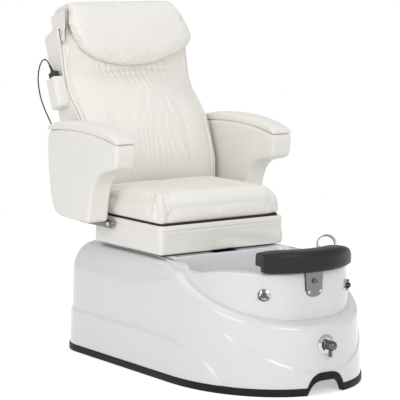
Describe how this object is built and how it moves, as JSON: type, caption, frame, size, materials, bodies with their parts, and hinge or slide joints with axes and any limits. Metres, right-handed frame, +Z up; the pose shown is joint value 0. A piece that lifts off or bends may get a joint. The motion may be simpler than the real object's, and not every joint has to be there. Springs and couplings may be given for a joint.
{
  "type": "pedicure spa chair",
  "caption": "Padded reclining massage seat with lifting arms, sliding on a moulded foot-bath tub with footrest, taps, drain and spray holder.",
  "frame": {"origin": "centre of the chair's box at floor level", "axes": "-Y is the way the sitter faces, +Z is up, +X is the sitter's left"},
  "size_m": [0.78, 1.4544, 1.2903],
  "materials": {
    "tub_gelcoat": "high gloss white moulded acrylic",
    "trim_rubber": "satin black rubber",
    "frame_steel": "black powder coat",
    "foot_rubber": "matt black",
    "channel_steel": "dark grey coat",
    "jet_plastic": "glossy light grey",
    "pump_plastic": "matt dark grey",
    "pipe_plastic": "matt white",
    "chrome": "polished chrome",
    "brass": "machined",
    "knob_chrome": "satin chrome",
    "bracket_steel": "brushed",
    "footrest_vinyl": "black padded vinyl",
    "board_wood": "dark stained plywood",
    "skirt_leather": "off-white upholstery",
    "seat_leather": "off-white upholstery",
    "bolt_steel": "zinc plated",
    "motor_housing": "matt black",
    "shell_leather": "off-white upholstery over a shell",
    "back_leather": "off-white upholstery",
    "carriage_plastic": "matt dark grey",
    "roller_wood": "turned and varnished",
    "pillow_leather": "off-white upholstery",
    "pocket_leather": "off-white upholstery",
    "handset_plastic": "satin black",
    "keypad_rubber": "matt dark grey",
    "cord_rubber": "satin black",
    "arm_leather": "off-white upholstery",
    "arm_pad_leather": "off-white upholstery",
    "bush_plastic": "acetal"
  },
  "bodies": {
    "tub": {"tub_shell": "tub_gelcoat", "base_trim": "trim_rubber", "base_frame": "frame_steel", "levelling_feet": "foot_rubber", "slide_channel": "channel_steel", "jet_nozzles": "jet_plastic", "jet_pump": "pump_plastic", "jet_pipes": "pipe_plastic", "drain_fitting": "chrome", "tap_escutcheons": "chrome", "tap_valves": "brass", "mixer_escutcheon": "chrome", "mixer_valve": "brass", "spray_ring": "chrome", "footrest_bracket": "bracket_steel", "bracket_screws": "chrome"},
    "plug": {"drain_plug": "chrome"},
    "right_tap": {"tap_knob_right": "knob_chrome"},
    "left_tap": {"tap_knob_left": "knob_chrome"},
    "mixer": {"mixer_handle": "chrome"},
    "lock": {"lock_bolt": "chrome"},
    "footrest": {"footrest_stem": "bracket_steel", "footrest_pad": "footrest_vinyl"},
    "seat": {"seat_carriage": "channel_steel", "seat_frame": "frame_steel", "seat_board": "board_wood", "seat_skirt": "skirt_leather", "seat_cushion": "seat_leather", "arm_brackets": "bracket_steel", "arm_bolts": "bolt_steel", "arm_pins": "bolt_steel", "recline_motor": "motor_housing", "back_hinges": "bracket_steel", "hinge_pin": "bolt_steel"},
    "rod": {"recline_rod": "bolt_steel"},
    "back": {"back_frame": "frame_steel", "back_shell": "shell_leather", "back_pad": "back_leather", "remote_pocket": "pocket_leather", "cord_gland": "cord_rubber", "cord": "cord_rubber"},
    "carriage": {"massage_carriage": "carriage_plastic"},
    "rollers": {"massage_rollers": "roller_wood"},
    "pillow": {"head_pillow": "pillow_leather"},
    "remote": {"handset": "handset_plastic", "handset_keypad": "keypad_rubber", "strain_relief": "cord_rubber"},
    "right_arm": {"arm_panel_right": "arm_leather", "arm_pad_right": "arm_pad_leather", "arm_bush_right": "bush_plastic"},
    "left_arm": {"arm_panel_left": "arm_leather", "arm_pad_left": "arm_pad_leather", "arm_bush_left": "bush_plastic"}
  },
  "joints": [
    {"name": "footrest_lift", "type": "slide", "parent": "tub", "child": "footrest", "axis": [0, 0, 1], "range_m": [0, 0.04]},
    {"name": "lock_bolt_turn", "type": "hinge", "parent": "tub", "child": "lock", "pos_m": [0, -0.6017, 0.378], "axis": [0, -1, 0], "range_deg": [0, 180]},
    {"name": "right_tap_turn", "type": "hinge", "parent": "tub", "child": "right_tap", "pos_m": [-0.173, -0.55673, 0.339], "axis": [-0.6935, -0.7205, 0], "range_deg": [0, 90]},
    {"name": "left_tap_turn", "type": "hinge", "parent": "tub", "child": "left_tap", "pos_m": [0.173, -0.55673, 0.339], "axis": [0.6935, -0.7205, 0], "range_deg": [0, 90]},
    {"name": "mixer_turn", "type": "hinge", "parent": "tub", "child": "mixer", "pos_m": [0, -0.6729, 0.17], "axis": [0, -1, 0], "range_deg": [-60, 60]},
    {"name": "drain_plug_lift", "type": "slide", "parent": "tub", "child": "plug", "axis": [0, 0, 1], "range_m": [0, 0.0101]},
    {"name": "seat_slide", "type": "slide", "parent": "tub", "child": "seat", "axis": [0, -1, 0], "range_m": [0, 0.12]},
    {"name": "back_recline", "type": "hinge", "parent": "seat", "child": "back", "pos_m": [0, 0.4171, 0.545], "axis": [-1, 0, 0], "range_deg": [0, 35]},
    {"name": "recline_rod_slide", "type": "slide", "parent": "seat", "child": "rod", "axis": [0, -1, 0], "range_m": [0, 0.041]},
    {"name": "massage_travel", "type": "slide", "parent": "back", "child": "carriage", "axis": [0, 0.342, 0.9397], "range_m": [-0.08, 0.3]},
    {"name": "roller_spin", "type": "hinge", "parent": "carriage", "child": "rollers", "pos_m": [0, 0.5161, 0.76437], "axis": [1, 0, 0], "continuous": true},
    {"name": "pillow_flip", "type": "hinge", "parent": "back", "child": "pillow", "pos_m": [0, 0.72518, 1.23356], "axis": [-1, 0, 0], "range_deg": [0, 95]},
    {"name": "handset_lift", "type": "slide", "parent": "back", "child": "remote", "axis": [0, 0.342, 0.9397], "range_m": [0, 0.14], "deforming": ["cord"]},
    {"name": "right_arm_lift", "type": "hinge", "parent": "seat", "child": "right_arm", "pos_m": [-0.33, 0.4171, 0.575], "axis": [-1, 0, 0], "range_deg": [0, 45]},
    {"name": "left_arm_lift", "type": "hinge", "parent": "seat", "child": "left_arm", "pos_m": [0.33, 0.4171, 0.575], "axis": [-1, 0, 0], "range_deg": [0, 45]}
  ],
  "couplings": [
    {"joint": "recline_rod_slide", "follows": "back_recline", "m_per_rad": 0.065963}
  ]
}
